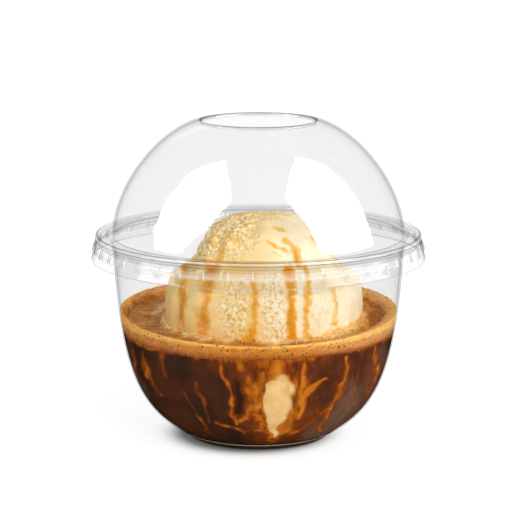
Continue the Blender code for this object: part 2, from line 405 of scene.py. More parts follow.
def ice_cream_finish():
    """Vanilla ice cream: icy and porous, golden where coffee has wet the crumbs, with amber drips; painted
    shade on its left side and in its pits, and painted glints.
    """
    paint = Paint("vanilla ice cream")
    amber, golden, pit = paint.painted("stains_and_pit_shade")
    left_warm_shade, ridged = paint.painted("skin", 2)
    clouds = paint.grain(110.0, 3.0, 0.55)
    grains = paint.grain(800.0, 5.0, 0.65)
    ice = paint.grain(2400.0, 3.0, 0.6)
    crumbs = paint.grain(950.0, 3.0, 0.55, (1, 1, 1), 0.6)
    glints = paint.cells(900.0)
    cream = paint.blend(clouds.rise(0.3, 0.7), tone(244, 224, 182), tone(251, 237, 206))
    cream = paint.blend(grains.fall(0.34, 0.46) * 0.4, cream, tone(238, 208, 144))
    # Painted shade: the scoop's left side, away from the key light, goes warmer and a little darker, also
    # standing in for warm light from the crema
    cream = paint.blend(left_warm_shade, cream, tone(243, 203, 122))
    # Painted highlight: whiter flecks over the pitted band, for its lit ridges
    cream = paint.blend(ridged * grains.rise(0.45, 0.6) * 0.6, cream, tone(255, 248, 226))
    olive = paint.blend(clouds.rise(0.4, 0.6), tone(184, 138, 46), tone(212, 164, 80))
    crumbled = paint.blend(crumbs.rise(0.42, 0.56), olive, tone(252, 232, 180))
    cream = paint.blend(golden * 0.85, cream, crumbled)
    # Painted shade: the pits are darker and yellower
    cream = paint.blend(pit * 0.85, cream, tone(208, 162, 54))
    # Painted glints: near-white specks for light caught on ice crystals, more of them among the crumbs
    painted_glint = glints.fall(0.10, 0.22) * grains.rise(0.48, 0.6) * (0.35 + golden * 0.5)
    cream = paint.blend(painted_glint, cream, tone(255, 252, 238))
    loose = amber.rise(0.02, 0.35)
    stain = amber + (grains - 0.5) * 1.2 * loose + (clouds - 0.5) * 1.1 * loose
    light = paint.blend(stain.rise(0.10, 0.58), cream, tone(240, 188, 84))
    colour = paint.blend(stain.rise(0.44, 0.95), light, tone(224, 148, 16))
    return paint.coated(
        colour,
        Roughness=0.5 - amber * 0.2 + grains * 0.1,
        Specular_IOR_Level=0.2,
        Subsurface_Weight=0.12,
        Subsurface_Radius=(0.0024, 0.0014, 0.0006),
        Subsurface_Scale=1.0,
        Normal=paint.bump(grains * 0.7 + ice * 0.3 + crumbs * golden * 1.4, 0.0006, 0.4),
    )


# Shapes


def curve(start, pulls, end, steps):
    """Points along a pulled curve in the (radius, height) plane, both ends included."""
    corners = [Vector((x, z, 0)) for x, z in (start, *pulls, end)]
    return [tuple(p.xy) for p in geometry.interpolate_bezier(*corners, steps + 1)]


def beside(line, distance):
    """The line moved sideways by a distance, to the right of its own direction, with mitred corners."""
    points = [Vector(p) for p in line]
    moved = []
    for i, point in enumerate(points):
        before = (point - points[max(i - 1, 0)]).normalized() if i else None
        after = (points[i + 1] - point).normalized() if i + 1 < len(points) else None
        sides = [Vector((d.y, -d.x)) for d in (before, after) if d]
        mean = sum(sides, Vector((0, 0))).normalized()
        moved.append(tuple(point + mean * distance / mean.dot(sides[0])))
    return moved


def softened(line, reach):
    """The line with each sharp corner rolled over, from up to a reach before it to as far after it.

    On long straight stretches a point more is kept near the corner, so that a mark there stays narrow."""
    long = 4 * reach
    guard = 1.7 * reach
    points = [Vector(p) for p in line]
    soft = [points[0]]
    for before, corner, after in zip(points, points[1:], points[2:]):
        turn = (corner - before).angle(after - corner)
        if turn < GENTLE_TURN:
            soft.append(corner)
            continue
        lead = before - corner
        trail = after - corner
        start = corner + lead * min(reach / lead.length, 0.45)
        end = corner + trail * min(reach / trail.length, 0.45)
        if lead.length > long:
            soft.append(corner + lead.normalized() * guard)
        for i in range(CORNER_STEPS + 1):
            t = i / CORNER_STEPS
            soft.append(start * (1 - t) ** 2 + corner * 2 * t * (1 - t) + end * t * t)
        if trail.length > long:
            soft.append(corner + trail.normalized() * guard)
    return [tuple(p) for p in soft + points[-1:]]


def radius_at(line, height):
    for (r0, z0), (r1, z1) in zip(line, line[1:]):
        if z0 <= height <= z1:
            return r0 + (r1 - r0) * (height - z0) / (z1 - z0)
    raise ValueError("the line doesn't reach that height")


def turned(profile, sides, closed):
    """A bmesh turned round Z from a profile of (radius, height) points, closed or ending on the axis."""
    bm = bmesh.new()
    points = [bm.verts.new((radius, 0, height)) for radius, height in profile]
    ends = zip(points, points[1:] + points[:1]) if closed else zip(points, points[1:])
    edges = [bm.edges.new(pair) for pair in ends]
    whole = {"axis": (0, 0, 1), "cent": (0, 0, 0), "angle": math.tau, "use_merge": True}
    bmesh.ops.spin(bm, geom=points + edges, steps=sides, **whole)
    bmesh.ops.remove_doubles(bm, verts=bm.verts, dist=1e-6)
    bmesh.ops.recalc_face_normals(bm, faces=bm.faces)
    return bm


def piece(name, bm, material, node=None):
    """A named piece of the part from a bmesh, which rides on the body and may stand for a node."""
    mesh = bpy.data.meshes.new(name)
    bm.to_mesh(mesh)
    bm.free()
    mesh.shade_smooth()
    mesh.materials.append(material)
    made = bpy.data.objects.new(name, mesh)
    bpy.context.scene.collection.objects.link(made)
    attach(made, "root")
    if node:
        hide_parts(node)
    return made


def places_of(made):
    """The piece's points, as an array of one row each."""
    rows = np.empty(len(made.data.vertices) * 3)
    made.data.vertices.foreach_get("co", rows)
    return rows.reshape(-1, 3)


def move_to(made, places):
    made.data.vertices.foreach_set("co", places.ravel())
    made.data.update()


def smoothstep(low, high, value):
    share = np.clip((value - low) / (high - low), 0, 1)
    return share * share * (3 - 2 * share)


def in_photo(places):
    """Where the photo shows each point, in pixels from its top left corner."""
    ahead = places[:, 1] - EYE.y
    below = EYE.z - places[:, 2]
    depth = ahead * math.cos(PITCH) + below * math.sin(PITCH)
    up = ahead * math.sin(PITCH) - below * math.cos(PITCH)
    across = AXIS_PIXEL + FOCAL_PIXELS * places[:, 0] / depth
    return np.stack([across, PHOTO_SIZE / 2 - FOCAL_PIXELS * up / depth], axis=1)


def rounded_path(path):
    """The path with its corners cut twice over, so that it bends smoothly."""
    line = [np.array(p, float) for p in path]
    for _ in range(2):
        cut = [line[0]]
        for first, second in zip(line, line[1:]):
            cut += [first * 0.75 + second * 0.25, first * 0.25 + second * 0.75]
        line = cut + [line[-1]]
    return line


def stroke(seen, path, soft):
    """How strongly a brush stroke covers each point seen: 1 along its path and 0 outside.

    The path has (across, down, half width) in pixels, and the softness is a share of the half width."""
    cover = np.zeros(len(seen))
    path = rounded_path(path)
    for (x0, y0, w0), (x1, y1, w1) in zip(path, path[1:]):
        start = np.array((x0, y0))
        step = np.array((x1 - x0, y1 - y0))
        along = np.clip(((seen - start) @ step) / max(step @ step, 1e-9), 0, 1)
        far = np.hypot(*(seen - start - along[:, None] * step).T)
        width = w0 + (w1 - w0) * along
        cover = np.maximum(cover, 1 - smoothstep(1 - soft, 1 + soft, far / width))
    return cover


def paint_on(made, name, *masks):
    """Keeps up to three masks on the piece's points, as the channels of one colour attribute."""
    rows = np.zeros((len(masks[0]), 4), np.float32)
    rows[:, : len(masks)] = np.stack(masks, axis=1)
    rows[:, 3] = 1
    made.data.color_attributes.new(name, "FLOAT_COLOR", "POINT")
    made.data.color_attributes[name].data.foreach_set("color", rows.ravel())


# The cup and its lid


def bowl_outside():
    """The cup's outer face, from the top of its foot to where the rim begins."""
    bowl = curve(BOWL_START, BOWL_PULL, BOWL_END, 54)
    return bowl + curve(BOWL_END, MOUTH_PULL, RIM_START, 8)[1:]


def upward(line, low):
    """The stretch of a rising (radius, height) line above a height, with a point at it."""
    return [(radius_at(line, low), low)] + [p for p in line if p[1] > low]


def cup():
    inner_face = beside(bowl_outside(), -WALL)
    inside = [(0, FLOOR_TOP), *upward(inner_face, FLOOR_TOP)]
    rim = [
        (RIM_RADIUS - WALL, RIM_TOP),
        (RIM_RADIUS, RIM_TOP - WALL),
        (RIM_RADIUS, RIM_LIP_BOTTOM),
        (RIM_RADIUS - WALL, RIM_LIP_BOTTOM),
        (RIM_RADIUS - WALL, RIM_TOP - 2 * WALL),
    ]
    foot = [
        (FOOT_RADIUS, 0.5 * FOOT_HEIGHT),
        (FOOT_RADIUS, 0),
        (FOOT_RADIUS - FOOT_WIDTH, 0),
        (FOOT_RADIUS - FOOT_WIDTH - WALL, FOOT_HEIGHT),
        (0, FLOOR_TOP - WALL),
    ]
    profile = softened(inside + rim + bowl_outside()[::-1] + foot, CUP_CORNER)
    finish = clear_plastic("clear cup plastic", 0.952)
    made = piece("clear_cup", turned(profile, CUP_SIDES, closed=False), finish, "cup")
    with_edges(made, CUP_LINES)
    places = places_of(made)
    radius = np.hypot(places[:, 0], places[:, 1])
    low = 1 - smoothstep(FLOOR_TOP + 0.0001, FLOOR_TOP + 0.0007, places[:, 2])
    # Painted refraction and shade: below the cup's floor, the foot ring is marked to take the coffee's dark
    # brown
    glow = 0.9 * low * smoothstep(0.017, 0.0185, radius)
    rim = smoothstep(BOWL_END[0] + 0.0003, BOWL_END[0] + 0.0010, radius)
    paint_on(made, "zones", glow, rim, rim)


# Where a turn of the wall gets painted lines: (radius, height, reach), and how strong its painted shade and
# its painted highlight are
FOOT_BEND = (0.0240, 0.0023)
HOLE_EDGE = (0.01745, 0.09685)
CUP_LINES = (
    (RIM_RADIUS, RIM_TOP, 0.0004, 0.35, 0),
    (RIM_RADIUS, RIM_LIP_BOTTOM, 0.0004, 0.15, 0.35),
    (*FOOT_BEND, 0.0005, 0, 0.85),
    (FOOT_RADIUS, 0.0001, 0.0003, 0, 0.4),
)
LID_LINES = (
    (*HOLE_EDGE, 0.0006, 1.0, 0),
    (HOLE_RADIUS, HOLE_LIP_BOTTOM, 0.0003, 0.30, 0),
    (*NECK, 0.00035, 0.55, 0),
    (*GROOVE, 0.0003, 0.25, 0),
    (*FLANGE_INNER, 0.0003, 0.15, 0.2),
    (*FLANGE_OUTER, 0.0004, 0.75, 0),
    (*SHOULDER[0], 0.0003, 0, 0.35),
    (*SHOULDER[1], 0.0003, 0.6, 0),
    (*SKIRT_WAIST, 0.0004, 0.35, 0),
    (*SKIRT_FLARE[1], 0.0004, 0, 0.6),
    (*SKIRT_BOTTOM, 0.0004, 0.25, 0.45),
)


def with_edges(made, lines, ribs=0):
    """Marks the fine lines of painted shade and painted highlight at the wall's turns, and down the sides
    of its ribs.
    """
    places = places_of(made)
    radius = np.hypot(places[:, 0], places[:, 1])
    dark = np.zeros(len(places))
    light = np.zeros(len(places))
    for r, z, reach, shade_share, highlight_share in lines:
        mark = 1 - smoothstep(0.5 * reach, reach, np.hypot(radius - r, places[:, 2] - z))
        dark = np.maximum(dark, mark * shade_share)
        light = np.maximum(light, mark * highlight_share)
    # The front lines are the crisp ones, and those behind are fainter
    behind = 1 - 0.5 * smoothstep(0.0, 0.03, places[:, 1])
    paint_on(made, "edges", dark * behind, light, ribs * behind)


def lid():
    dome = curve(DOME_TOP, DOME_PULL, DOME_FOOT, 34)
    flange = [NECK, GROOVE, FLANGE_INNER, FLANGE_OUTER, *SHOULDER]
    skirt = [SKIRT_WAIST, *SKIRT_FLARE, RIB_FOOT, SKIRT_BOTTOM]
    outside = dome + flange + skirt
    inside = beside(outside, WALL)
    lip = [(HOLE_RADIUS, HOLE_LIP_BOTTOM), (HOLE_RADIUS, DOME_TOP[1] - 0.5 * WALL)]
    lip_inside = (HOLE_RADIUS + WALL, HOLE_LIP_BOTTOM)
    ring = lip + outside + inside[::-1] + [lip_inside]
    profile = softened([ring[-1], *ring, ring[0]], LID_CORNER)[1:-1]
    bm = turned(profile, RIBS * len(BAY), closed=True)
    raise_ribs(bm)
    finish = clear_plastic("clear lid plastic", 0.970)
    made = piece("clear_lid", bm, finish, "lid")
    with_edges(made, LID_LINES, rib_sides(places_of(made)))
    height = places_of(made)[:, 2]
    below_dome = 1 - smoothstep(DOME_FOOT[1], DOME_FOOT[1] + 0.0006, height)
    flat = below_dome * smoothstep(SKIRT_WAIST[1], SHOULDER[1][1], height)
    paint_on(made, "zones", 0 * flat, flat, below_dome)


def rib_sides(places):
    """1 on the steep sides of the ribs, on the skirt's outer face."""
    angle = np.arctan2(places[:, 1], places[:, 0]) - FIRST_BAY
    share = (angle / math.tau * RIBS) % 1.0
    away = np.minimum(*(abs(share - side) for side in RIB_SIDES))
    steep = away < RIB_SIDE_WIDTH
    high = smoothstep(RIB_FOOT[1] - 0.0002, RIB_FOOT[1] + 0.0006, places[:, 2])
    high *= 1 - smoothstep(SKIRT_WAIST[1] - 0.0010, SKIRT_WAIST[1] - 0.0002, places[:, 2])
    outer = np.hypot(places[:, 0], places[:, 1]) > 0.0493
    return steep * high * outer


def raise_ribs(bm):
    """Stands the columns of each bay where the rib's edges are, and lifts the rib out of the skirt."""
    left, right = RIB_SIDES
    for vert in bm.verts:
        radius = vert.co.xy.length
        column = round(math.atan2(vert.co.y, vert.co.x) % math.tau * RIBS * len(BAY) / math.tau)
        bay, place = divmod(column, len(BAY))
        angle = FIRST_BAY + (bay + BAY[place]) * math.tau / RIBS
        level = (SKIRT_WAIST[1] - vert.co.z) / (SKIRT_WAIST[1] - RIB_FOOT[1])
        if left < BAY[place] < right and radius > RIM_RADIUS and 0.1 < level < 0.95:
            radius += RIB_HEIGHT * min(1, 2.2 * level, 5 * (1.05 - level))
        vert.co = (radius * math.cos(angle), radius * math.sin(angle), vert.co.z)


# The drink

# Coffee seen through the wall, as strokes in the photo. Each has its strength, and then a path of
# (across, down, half width) in pixels
AMBER_STROKES = (
    (0.48, ((142, 352, 1.4), (145, 364, 2.2), (149, 376, 2.2), (155, 388, 1.8), (162, 398, 1.2))),
    (0.32, ((147, 362, 1.5), (151, 380, 1.5), (157, 396, 1.2))),
    (0.28, ((164, 352, 3), (166, 364, 3), (169, 374, 2))),
    (0.36, ((183, 392, 1.2), (190, 406, 1.6), (197, 418, 1.8), (208, 434, 1.2))),
    (0.30, ((198, 384, 1.2), (203, 404, 1.4), (210, 424, 1.2))),
    (0.76, ((225, 364, 2), (227, 378, 2.4), (230, 392, 2.2), (235, 406, 2.4), (237, 424, 1.4))),
    (0.60, ((243, 360, 3), (249, 374, 3.6), (252, 390, 4), (252, 404, 4), (246, 416, 3), (240, 420, 2))),
    (0.42, ((236, 352, 5), (232, 364, 4))),
    (0.76, ((262, 372, 4), (258, 386, 5), (256, 402, 5), (257, 416, 5), (262, 430, 4))),
    (0.58, ((262, 362, 8), (278, 368, 9), (292, 372, 7), (297, 384, 4))),
    (0.66, ((296, 380, 3.5), (297, 398, 3.5), (294, 414, 4), (287, 428, 4))),
    (0.95, ((277, 372, 12), (278, 392, 19), (276, 412, 17), (274, 430, 10), (274, 440, 4))),
    (1.05, ((268, 381, 6), (279, 379, 8), (289, 381, 6))),
    (0.84, ((303, 366, 2), (307, 378, 2.6), (305, 392, 3), (301, 404, 3), (298, 416, 2.4))),
    (0.90, ((326, 377, 2.6), (317, 383, 3), (309, 391, 3.6), (303, 402, 3.4), (299, 414, 2.4))),
    (0.70, ((347, 356, 1.6), (345, 372, 2), (337, 392, 2.6), (329, 412, 2.2), (318, 434, 1.6))),
    (0.42, ((341, 384, 1.4), (331, 404, 1.6), (318, 420, 1.4))),
    (0.60, ((377, 345, 1.8), (376.5, 362, 2.2), (373, 380, 2.2), (366, 394, 1.4))),
    (0.32, ((362, 352, 2), (358, 374, 2), (352, 396, 1.6))),
    (0.45, ((218, 424, 2), (232, 430, 2.4), (246, 435, 2.4), (262, 434, 2))),
    (0.38, ((286, 436, 3), (304, 428, 3), (320, 416, 3))),
    (0.38, ((131, 350, 1.5), (134, 364, 1.8), (140, 380, 1.2))),
)
PALE_STROKES = (
    (1.0, ((270, 385, 5), (270.5, 400, 5.5), (271.5, 414, 5), (273.5, 428, 3.5))),
    (1.0, ((283, 385, 10.5), (283.5, 396, 10.5), (280, 408, 8.5), (277.5, 420, 6), (276, 432, 3.5))),
    (0.9, ((276, 430, 3.5), (275, 439, 1.5))),
)
HAZE_STROKES = (
    (0.90, ((222, 356, 12), (262, 360, 20), (296, 358, 16), (326, 354, 8))),
    (0.85, ((252, 380, 14), (254, 410, 16), (264, 434, 12))),
    (0.75, ((304, 380, 16), (306, 408, 18), (292, 432, 14))),
    (0.50, ((342, 362, 12), (338, 392, 14))),
    (0.45, ((376, 350, 8), (372, 384, 8))),
)
# A painted reflection: the greyish sheen of the floor in the cup's lower wall, strongest low on the right
# and faint on the left
PAINTED_SHEEN_STROKES = (
    (0.75, ((352, 392, 10), (348, 412, 12), (334, 428, 11), (314, 440, 8))),
    (0.45, ((384, 352, 7), (376, 382, 9), (362, 402, 9))),
    (0.30, ((123, 344, 4), (132, 372, 5), (146, 396, 4))),
)
EYE_STROKES = ((0.9, ((240, 386, 3), (240, 398, 4.5), (241, 408, 3))),)


def covered(seen, strokes, soft):
    cover = np.zeros(len(seen))
    for strength, path in strokes:
        cover = np.maximum(cover, strength * stroke(seen, path, soft))
    return cover


def wavering(places, waves, reach):
    """A sideways wander for each point, in pixels, so that strokes on the surface aren't ruled lines."""
    apart = Vector((31.4, 17.2, 5.6))
    wander = []
    for place in places:
        point = Vector(place * waves)
        wander.append((noise.noise(point) * reach, noise.noise(point + apart) * reach))
    return np.array(wander)


def both_sides(places, strokes, wander, soft=0.6):
    """The strokes on the front half, and the same ones turned half round on the back."""
    front = covered(in_photo(places) + wander, strokes, soft)
    back = covered(in_photo(places * np.array((-1, -1, 1))) + wander, strokes, soft)
    return np.where(places[:, 1] < 0, front, back)


def drink_edge():
    return beside(bowl_outside(), -WALL + INTO_WALL)


def coffee():
    edge = drink_edge()
    heights = np.arange(FLOOR_TOP - INTO_WALL, COFFEE_TOP, COFFEE_ROW)
    side = [(radius_at(edge, z), z) for z in heights]
    bottom = [(side[0][0] * i / 10, side[0][1]) for i in range(10)]
    top = [(side[-1][0] * i / 4, COFFEE_TOP) for i in range(4, -1, -1)]
    bm = turned(bottom + side + top, DRINK_SIDES, closed=False)
    made = piece("coffee_body", bm, coffee_finish(), "coffee")
    places = places_of(made)
    wander = wavering(places, 110.0, 7.0) + wavering(places, 330.0, 3.0)
    amber = both_sides(places, AMBER_STROKES, wander, 1.0)
    under_foam = smoothstep(COFFEE_TOP - 0.0016, COFFEE_TOP, places[:, 2] + wander[:, 1] * 0.00025)
    paint_on(
        made,
        "swirls",
        np.maximum(amber, 0.55 * under_foam),
        both_sides(places, PALE_STROKES, wander * 0.3 + wavering(places, 250.0, 6.0), 0.5),
        both_sides(places, HAZE_STROKES, wander, 1.0),
    )
    sheen = both_sides(places, PAINTED_SHEEN_STROKES, wander, 1.0)
    paint_on(made, "painted_sheen_and_eye", sheen, both_sides(places, EYE_STROKES, wander, 0.7))


def foam_width(x, y):
    """How wide the ring of pale foam is along the wall: narrow at the left and the front."""
    radius = max(math.hypot(x, y), 1e-6)
    return RING_WIDTH + WIDER_RIGHT * max(x, 0) / radius + WIDER_BACK * max(y, 0) / radius


def scoop_distance(x, y):
    """About how far a point of the foam, or an array of them, is from the scoop's side."""
    across = abs(x - SCOOP_MIDDLE.x) / SCOOP_RADII.x
    along = abs(y - SCOOP_MIDDLE.y) / SCOOP_RADII.y
    spread = (across**SCOOP_SQUARENESS + along**SCOOP_SQUARENESS) ** (1 / SCOOP_SQUARENESS)
    return (spread - 1) * SCOOP_RADII.x


def heaped(x, y):
    """How far the foam is heaped up against the scoop, save where a lobe of it hangs out in front."""
    near = 1 - smoothstep(*HEAP_REACH, scoop_distance(x, y))
    lobe = math.exp(-(((x - LOBE_MIDDLE) / LOBE_WIDTH) ** 2)) * (y < 0)
    return HEAP_HEIGHT * near * (1 - lobe)


def ripple(x, y, waves, layer):
    """Noise over the foam between -1 and 1, with so many waves a metre."""
    return noise.noise(Vector((x * waves, y * waves, layer)))


def crema_height(x, y, wall):
    """The foam's top at a point: level, swelling to a ring at the wall and climbing it at the back."""
    radius = math.hypot(x, y)
    backward = 0.5 + 0.5 * y / max(radius, 1e-6)
    inward = (wall - radius) / (1.15 * foam_width(x, y))
    ring = math.exp(-((max(inward - 0.35, 0) / 0.55) ** 2))
    climb = BACK_CLIMB * math.sin(0.5 * math.pi * backward) + RING_SWELL
    height = CREMA_TOP + ring * climb + heaped(x, y) * (1 - ring)
    height += SLOW_FOAM[0] * ripple(x, y, SLOW_FOAM[1], 3) * (1 - ring)
    height += FINE_FOAM[0] * ripple(x, y, FINE_FOAM[1], 7)
    left = smoothstep(-0.020, -0.034, x) * (1 - ring)
    wrinkle = noise.noise(Vector((x * 260 + y * 160, y * 900 - x * 500, 1)))
    return height + WRINKLE_HEIGHT * left * abs(wrinkle)


def foam_mesh(edge, wall):
    """A flat disc of foam whose top is then raised to its height, with the side following the wall."""
    side = [(radius_at(edge, z), z) for z in np.linspace(CREMA_BOTTOM, CREMA_TOP, 9)]
    rings = [(wall - FOAM_STEP * i, CREMA_TOP) for i in range(1, FOAM_RINGS + 1)]
    inner = [(0.014, CREMA_TOP), (0.0, CREMA_TOP)]
    bottom = [(0.0, CREMA_BOTTOM), (0.02, CREMA_BOTTOM)]
    bm = turned(bottom + side + rings + inner, DRINK_SIDES, closed=False)
    for vert in bm.verts:
        x, y, level = vert.co
        radius = math.hypot(x, y)
        if level > CREMA_TOP - HAIR and radius > HAIR:
            height = crema_height(x, y, wall)
            stretch = radius_at(edge, height) / wall if radius > wall - WALL_BAND else 1
            vert.co = (x * stretch, y * stretch, height)
        elif level > CREMA_BOTTOM + HAIR and radius > HAIR:
            share = (level - CREMA_BOTTOM) / (CREMA_TOP - CREMA_BOTTOM)
            height = CREMA_BOTTOM + share * (crema_height(x, y, radius) - CREMA_BOTTOM)
            stretch = radius_at(edge, height) / radius
            vert.co = (x * stretch, y * stretch, height)
        elif radius > side[0][0] - HAIR:
            vert.co.z += min(LOW_EDGE_WAVE[0] * ripple(x, y, LOW_EDGE_WAVE[1], 0), LOW_EDGE_MOST)
    return bm


def crema():
    edge = drink_edge()
    wall = radius_at(edge, CREMA_TOP)
    made = piece("crema_foam", foam_mesh(edge, wall), crema_finish(), "crema")
    places = places_of(made)
    radius = np.hypot(places[:, 0], places[:, 1])
    width = np.array([foam_width(x, y) for x, y in places[:, :2]])
    wander = wavering(places, 330.0, 0.0009)[:, 0]
    ring = smoothstep(wall - 1.1 * width, wall - 0.8 * width, radius + wander)
    # The wrinkled left of the foam, which also gets a painted reflection
    left_wrinkles_and_sheen = smoothstep(-0.018, -0.031, places[:, 0]) * smoothstep(0.034, 0.004, places[:, 1])
    side_face = (radius > wall - WALL_BAND) * (places[:, 2] < CREMA_TOP - 0.0002)
    low = 0.45 + 0.55 * smoothstep(0.0352, CREMA_BOTTOM, places[:, 2] + 0.4 * wander)
    paint_on(made, "foam", ring, left_wrinkles_and_sheen * (1 - ring), low * side_face)
    right = smoothstep(0.2, 0.8, places[:, 0] / radius.clip(1e-6))
    back = smoothstep(-0.1, 0.6, places[:, 1] / radius.clip(1e-6))
    inner_line = 1 - smoothstep(0.0, 0.0007, abs(radius + wander - wall + 1.15 * width))
    away = scoop_distance(places[:, 0], places[:, 1]) + 1.5 * wander
    contact = 0.6 * (radius > wall - 0.0005) * (places[:, 2] > CREMA_TOP - 0.0004)
    paint_on(
        made,
        "froth",
        np.clip(0.75 * right + 0.5 * back, 0, 1) * ring,
        inner_line * (0.35 + 0.65 * np.maximum(right, 1 - back)) * (ring < 0.5),
        np.maximum(1 - smoothstep(0.0004, 0.0030, away), contact),
    )
    puddle = both_sides(places, PUDDLE_STROKES, wavering(places, 500.0, 3.0), 0.8) * (1 - side_face)
    paint_on(made, "puddles", puddle)
    places[:, 2] += PUDDLE_HEIGHT * puddle
    move_to(made, places)


# Melted ice cream that spreads from the scoop's foot over the foam. The second stroke, at the left, is a
# painted wet highlight beside the scoop.
PUDDLE_STROKES = (
    (1.00, ((262, 338, 4), (268, 340, 4.5), (276, 341, 4.5), (284, 338, 4))),
    (0.85, ((163, 316, 1.2), (163, 321, 1.8), (168, 327, 1.6), (175, 330, 1.2))),
    (0.60, ((324, 337, 3), (344, 331, 4), (358, 323, 4), (364, 314, 2.5))),
    (0.60, ((182, 333, 2), (206, 338, 2.4), (232, 340, 2.4))),
    (0.55, ((286, 341, 2), (306, 340, 2))),
)

# Large bubbles in the foam's front, where the photo shows them: (across, down, radius) in pixels. There
# the wall is so far from the eye, the foam's top shows in this row, and it rises by so many rows at the
# sides. A pixel is so high and so wide
WALL_AWAY = 0.585
TOP_ROW = 346.7
ROWS_RISEN = 28.0
PIXEL_HIGH = 0.00029
PIXEL_WIDE = 0.00030
LARGE_BUBBLES = (
    (345.2, 345.6, 2.0), (339.2, 346.4, 2.4), (333.5, 347.4, 1.3), (328.6, 347.0, 0.9),
    (350.5, 343.0, 1.1), (365.0, 340.2, 1.2), (357.0, 342.6, 0.8), (197.7, 353.4, 1.3),
    (204.0, 352.0, 0.8), (312.0, 350.2, 1.0),
)


def one_bubble():
    """A small ball of unit size, which the foam's bubbles are copies of."""
    bm = bmesh.new()
    bmesh.ops.create_uvsphere(bm, u_segments=8, v_segments=5, radius=1)
    mesh = bpy.data.meshes.new("one bubble")
    bm.to_mesh(mesh)
    bm.free()
    return mesh


def bubble(bm, ball, place, outward, radius, depth):
    """Adds a copy of the ball, flattened along the way that it faces."""
    turn = outward.to_track_quat("Z", "Y")
    there = Matrix.LocRotScale(place, turn, (radius, radius, depth))
    ball.transform(there)
    bm.from_mesh(ball)
    ball.transform(there.inverted())


def wall_bubbles(bm, ball, edge, chance):
    """Flat bubbles against the wall: small ones by chance, and the large ones that the photo shows."""
    spots = [
        (chance.uniform(0, math.tau), chance.uniform(*BUBBLE_HEIGHTS), None)
        for _ in range(WALL_BUBBLES)
    ]
    half_across = FOCAL_PIXELS * radius_at(edge, CREMA_TOP) / WALL_AWAY
    for across, down, pixels in LARGE_BUBBLES:
        slant = math.asin((across - AXIS_PIXEL) / half_across)
        rows = down - TOP_ROW + ROWS_RISEN * (1 - math.cos(slant))
        height = float(np.clip(CREMA_TOP - rows * PIXEL_HIGH, *BUBBLE_LIMITS))
        spots.append((slant - math.pi / 2, height, pixels * PIXEL_WIDE))
    for angle, height, size in spots:
        size = size or WALL_BUBBLE + LARGER * chance.random() ** 3
        outward = Vector((math.cos(angle), math.sin(angle), 0))
        place = outward * (radius_at(edge, height) - 0.00003)
        bubble(bm, ball, place + Vector((0, 0, height)), outward, size, BUBBLE_DEPTH)


def top_bubbles(bm, ball, wall, chance):
    """Small domes on the foam: nearly half of them round the scoop, and the rest on the ring."""
    for _ in range(TOP_BUBBLES):
        angle = chance.uniform(0, math.tau)
        near_scoop = chance.random() < 0.45
        ray = Vector((math.cos(angle), math.sin(angle), 0))
        if near_scoop:
            spread = sum(abs(c) ** SCOOP_SQUARENESS for c in ray.xy) ** (-1 / SCOOP_SQUARENESS)
            flank = Vector((ray.x * spread * SCOOP_RADII.x, ray.y * spread * SCOOP_RADII.y, 0))
            place = SCOOP_MIDDLE + flank + ray * chance.uniform(0.0002, 0.0022)
        else:
            place = ray * (wall - chance.uniform(0.0004, 1.3 * foam_width(ray.x, ray.y)))
        if place.xy.length > wall - 0.0003:
            continue
        size = TOP_BUBBLE + (LARGER_BY_SCOOP if near_scoop else LARGER) * chance.random() ** 2
        height = crema_height(place.x, place.y, wall)
        place = Vector((place.x, place.y, height - 0.2 * size))
        bubble(bm, ball, place, Vector((0, 0, 1)), size, 0.8 * size)


def bubbles():
    bm = bmesh.new()
    ball = one_bubble()
    edge = drink_edge()
    chance = random.Random(11)
    wall_bubbles(bm, ball, edge, chance)
    top_bubbles(bm, ball, radius_at(edge, CREMA_TOP), chance)
    bpy.data.meshes.remove(ball)
    piece("foam_bubbles", bm, bubble_finish())


# The scoop

# Drips, crumbs and pits on the scoop, as strokes in the photo
DRIP_STROKES = (
    (0.85, ((187, 268, 3), (185, 288, 4.2), (183, 300, 4), (181, 314, 3.4), (181, 326, 3.6))),
    (0.95, ((212, 262, 6), (209, 276, 6.5), (207, 292, 5.5), (205, 310, 4.6), (203, 332, 5))),
    (0.55, ((203, 272, 3), (201, 292, 3), (200, 312, 2.6), (199, 330, 3))),
    (0.85, ((254, 278, 3), (254, 292, 4), (253.5, 308, 4), (253, 322, 4.4), (251, 336, 8))),
    (0.95, ((289, 268, 4.5), (291, 290, 4.6), (291.5, 312, 4), (291, 340, 5))),
    (0.80, ((306, 268, 3), (307.5, 292, 3.6), (308, 314, 3.2), (307, 338, 4.5))),
    (0.50, ((330, 276, 3), (333, 294, 3.6), (336, 312, 3.2), (335, 326, 3.6))),
    (0.70, ((224, 246, 3.4), (222, 256, 4.4), (217, 264, 5))),
    (0.55, ((212, 238, 2.4), (215, 244, 3))),
    (0.60, ((276, 228.5, 1.4), (282, 231, 2.2), (288, 233.5, 1.2))),
    (0.75, ((268, 242, 1.5), (274, 245, 2.6), (280, 248, 1.6))),
    (0.60, ((278, 247.5, 1.4), (284, 249.5, 2.2), (289, 253, 1.4))),
    (0.66, ((287, 240, 2.4), (293, 247, 3), (298, 256, 3.4), (300, 264, 3.6))),
    (0.50, ((309, 236, 1.2), (312, 238, 1.8), (315, 240, 1.0))),
    (0.45, ((272, 252, 1.2), (276, 254, 1.6), (280, 257, 1))),
    (0.55, ((232, 239, 3), (238, 242, 3), (240, 244, 2))),
    (0.70, ((168, 328, 3), (182, 336, 4), (205, 343, 5), (240, 347, 5), (262, 347, 5))),
    (0.60, ((286, 346, 5), (320, 341, 4.5), (350, 329, 4), (362, 318, 3))),
    (0.40, ((182, 277, 3.5), (196, 281, 4), (214, 278, 5))),
)
